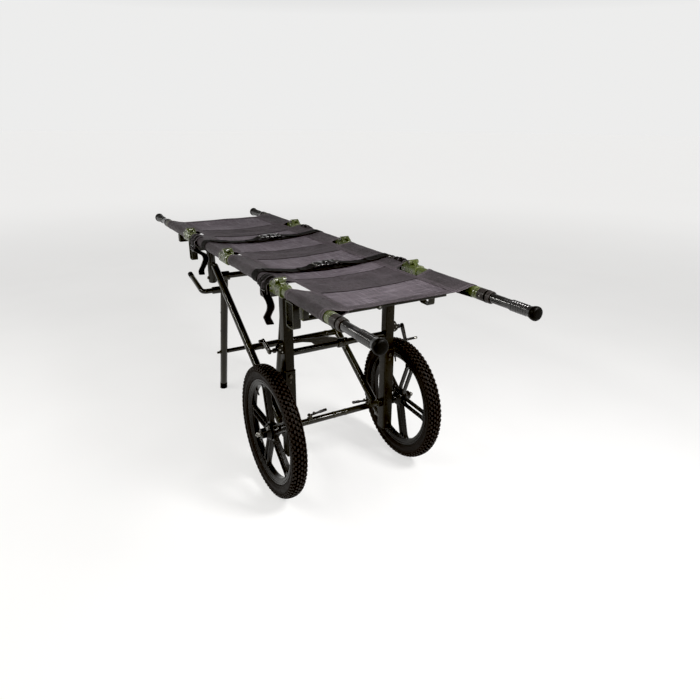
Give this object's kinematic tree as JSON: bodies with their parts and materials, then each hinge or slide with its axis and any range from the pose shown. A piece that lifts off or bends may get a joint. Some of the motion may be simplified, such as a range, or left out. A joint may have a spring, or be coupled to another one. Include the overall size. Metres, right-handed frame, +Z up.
{
  "type": "wheeled litter carrier",
  "caption": "Wheeled litter carrier with spoked wheels and a folding rear stand, holding a folding pole litter with a sagging mesh bed, cross straps and sliding handles.",
  "frame": {"origin": "on the ground below the litter's middle hinge, centred between the wheels and between the four handle tips' outer ends", "axes": "+Z up, +Y along the litter from the wheel end towards the rear stand, +X across towards the right wheel"},
  "size_m": [0.72, 2.286, 0.8735],
  "materials": {
    "olive_drab_paint": "satin",
    "dark_frame_paint": "semi-gloss",
    "black_paint": "satin",
    "black_moulded_plastic": "satin",
    "tyre_rubber": "matte",
    "grip_rubber": "matte",
    "dark_zinc_steel": "satin",
    "charcoal_mesh_fabric": "woven mesh",
    "black_webbing": "woven webbing"
  },
  "bodies": {
    "carrier": {"left_post": "dark_frame_paint", "left_post_sleeve": "dark_frame_paint", "left_front_cradle": "dark_frame_paint", "left_rear_cradle": "dark_frame_paint", "left_rear_upright": "dark_frame_paint", "left_brace": "dark_frame_paint", "left_cross_pin": "dark_zinc_steel", "right_post": "dark_frame_paint", "right_post_sleeve": "dark_frame_paint", "right_front_cradle": "dark_frame_paint", "right_rear_cradle": "dark_frame_paint", "right_rear_upright": "dark_frame_paint", "right_brace": "dark_frame_paint", "right_cross_pin": "dark_zinc_steel", "lower_cross_bar": "dark_frame_paint", "upper_cross_bar": "dark_frame_paint", "middle_cross_bar": "dark_frame_paint", "rear_cross_bar": "dark_frame_paint", "cross_bar_lock_plate": "black_moulded_plastic"},
    "left_wheel_set": {"left_wheel": "black_moulded_plastic", "left_tyre": "tyre_rubber"},
    "left_axle_pin_body": {"left_axle_pin": "dark_zinc_steel"},
    "left_brake": {"left_brake_lever": "black_paint"},
    "left_latch": {"left_bar_latch": "dark_zinc_steel"},
    "left_stand_lock": {"left_stand_lock_lever": "dark_frame_paint"},
    "stand": {"left_stand_leg": "dark_frame_paint", "left_foot_cap": "grip_rubber", "right_stand_leg": "dark_frame_paint", "right_foot_cap": "grip_rubber", "stand_cross_bar": "dark_frame_paint"},
    "right_wheel_set": {"right_wheel": "black_moulded_plastic", "right_tyre": "tyre_rubber"},
    "right_axle_pin_body": {"right_axle_pin": "dark_zinc_steel"},
    "right_brake": {"right_brake_lever": "black_paint"},
    "right_latch": {"right_bar_latch": "dark_zinc_steel"},
    "right_stand_lock": {"right_stand_lock_lever": "dark_frame_paint"},
    "litter_front": {"left_front_middle_pole": "olive_drab_paint", "right_front_middle_pole": "olive_drab_paint", "front_middle_bed": "charcoal_mesh_fabric", "front_strap": "black_webbing"},
    "litter_rear": {"left_rear_middle_pole": "olive_drab_paint", "left_rear_stirrup": "olive_drab_paint", "right_rear_middle_pole": "olive_drab_paint", "right_rear_stirrup": "olive_drab_paint", "rear_middle_bed": "charcoal_mesh_fabric", "rear_strap": "black_webbing"},
    "front_end": {"left_front_end_pole": "olive_drab_paint", "left_front_stirrup": "olive_drab_paint", "right_front_end_pole": "olive_drab_paint", "right_front_stirrup": "olive_drab_paint", "front_spreader_bar": "olive_drab_paint", "front_end_bed": "charcoal_mesh_fabric"},
    "rear_end": {"left_rear_end_pole": "olive_drab_paint", "right_rear_end_pole": "olive_drab_paint", "rear_spreader_bar": "olive_drab_paint", "rear_end_bed": "charcoal_mesh_fabric"},
    "left_front_handle_tube": {"left_front_handle": "grip_rubber"},
    "right_front_handle_tube": {"right_front_handle": "grip_rubber"},
    "left_rear_handle_tube": {"left_rear_handle": "grip_rubber"},
    "right_rear_handle_tube": {"right_rear_handle": "grip_rubber"}
  },
  "joints": [
    {"name": "left_wheel_spin", "type": "hinge", "parent": "carrier", "child": "left_wheel_set", "pos_m": [-0.293, -0.442, 0.26], "axis": [1, 0, 0], "continuous": true},
    {"name": "left_axle_pin_pull", "type": "slide", "parent": "carrier", "child": "left_axle_pin_body", "axis": [-1, 0, 0], "range_m": [0, 0.1]},
    {"name": "left_brake_turn", "type": "hinge", "parent": "carrier", "child": "left_brake", "pos_m": [-0.29, -0.442, 0.584], "axis": [1, 0, 0], "range_deg": [0, 220]},
    {"name": "left_latch_lift", "type": "hinge", "parent": "carrier", "child": "left_latch", "pos_m": [-0.134, -0.442, 0.2826], "axis": [0, -1, 0], "range_deg": [0, 100]},
    {"name": "left_stand_lock_turn", "type": "hinge", "parent": "stand", "child": "left_stand_lock", "pos_m": [-0.2, 0.416, 0.586], "axis": [-1, 0, 0], "range_deg": [0, 90]},
    {"name": "right_wheel_spin", "type": "hinge", "parent": "carrier", "child": "right_wheel_set", "pos_m": [0.293, -0.442, 0.26], "axis": [1, 0, 0], "continuous": true},
    {"name": "right_axle_pin_pull", "type": "slide", "parent": "carrier", "child": "right_axle_pin_body", "axis": [1, 0, 0], "range_m": [0, 0.1]},
    {"name": "right_brake_turn", "type": "hinge", "parent": "carrier", "child": "right_brake", "pos_m": [0.29, -0.442, 0.584], "axis": [1, 0, 0], "range_deg": [-220, 0]},
    {"name": "right_latch_lift", "type": "hinge", "parent": "carrier", "child": "right_latch", "pos_m": [0.134, -0.442, 0.2826], "axis": [0, 1, 0], "range_deg": [0, 100]},
    {"name": "right_stand_lock_turn", "type": "hinge", "parent": "stand", "child": "right_stand_lock", "pos_m": [0.2, 0.416, 0.586], "axis": [-1, 0, 0], "range_deg": [0, 90]},
    {"name": "stand_fold", "type": "hinge", "parent": "carrier", "child": "stand", "pos_m": [0, 0.4, 0.655], "axis": [-1, 0, 0], "range_deg": [0, 70]},
    {"name": "litter_lift", "type": "slide", "parent": "carrier", "child": "litter_front", "axis": [0, 0, 1], "range_m": [0, 0.15]},
    {"name": "middle_fold", "type": "hinge", "parent": "litter_front", "child": "litter_rear", "pos_m": [0, 0, 0.865], "axis": [-1, 0, 0], "range_deg": [-165, 0]},
    {"name": "front_fold", "type": "hinge", "parent": "litter_front", "child": "front_end", "pos_m": [0, -0.521, 0.865], "axis": [-1, 0, 0], "range_deg": [0, 140]},
    {"name": "rear_fold", "type": "hinge", "parent": "litter_rear", "child": "rear_end", "pos_m": [0, 0.521, 0.865], "axis": [1, 0, 0], "range_deg": [0, 140]},
    {"name": "left_front_handle_slide", "type": "slide", "parent": "front_end", "child": "left_front_handle_tube", "axis": [0, -1, 0], "range_m": [-0.083, 0]},
    {"name": "right_front_handle_slide", "type": "slide", "parent": "front_end", "child": "right_front_handle_tube", "axis": [0, -1, 0], "range_m": [-0.083, 0]},
    {"name": "left_rear_handle_slide", "type": "slide", "parent": "rear_end", "child": "left_rear_handle_tube", "axis": [0, 1, 0], "range_m": [-0.083, 0]},
    {"name": "right_rear_handle_slide", "type": "slide", "parent": "rear_end", "child": "right_rear_handle_tube", "axis": [0, 1, 0], "range_m": [-0.043, 0.04]}
  ]
}
